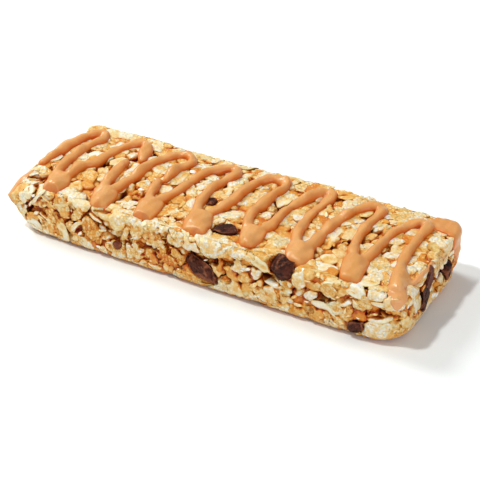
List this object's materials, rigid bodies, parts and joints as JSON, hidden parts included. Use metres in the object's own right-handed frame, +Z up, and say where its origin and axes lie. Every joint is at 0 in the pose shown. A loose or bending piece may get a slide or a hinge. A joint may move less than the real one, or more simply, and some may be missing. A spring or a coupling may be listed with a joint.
{
  "type": "granola bar",
  "caption": "Rectangular soft granola bar of puffed rice, rolled oats and chocolate drops, with a zigzag line of peanut coating on top.",
  "frame": {"origin": "middle of the bar's length and width, on the surface that it rests on", "axes": "+X along the bar's length, +Z up out of its coated top, -Y towards the long side over which the line of coating pools"},
  "size_m": [0.0966, 0.0338, 0.0133],
  "materials": {
    "granola": "rough baked cereal with a thin sugar-syrup gloss",
    "syrup": "glossy amber sugar syrup between the pieces",
    "puffed_rice": "pale porous puffed rice, faintly glazed",
    "oat_flake": "golden toasted oat flake with a floury speckle",
    "chocolate": "dark chocolate, satin, scuffed",
    "coating": "smooth satin peanut-flavoured coating"
  },
  "bodies": {
    "root": {"granola_bar": "granola"}
  },
  "joints": []
}
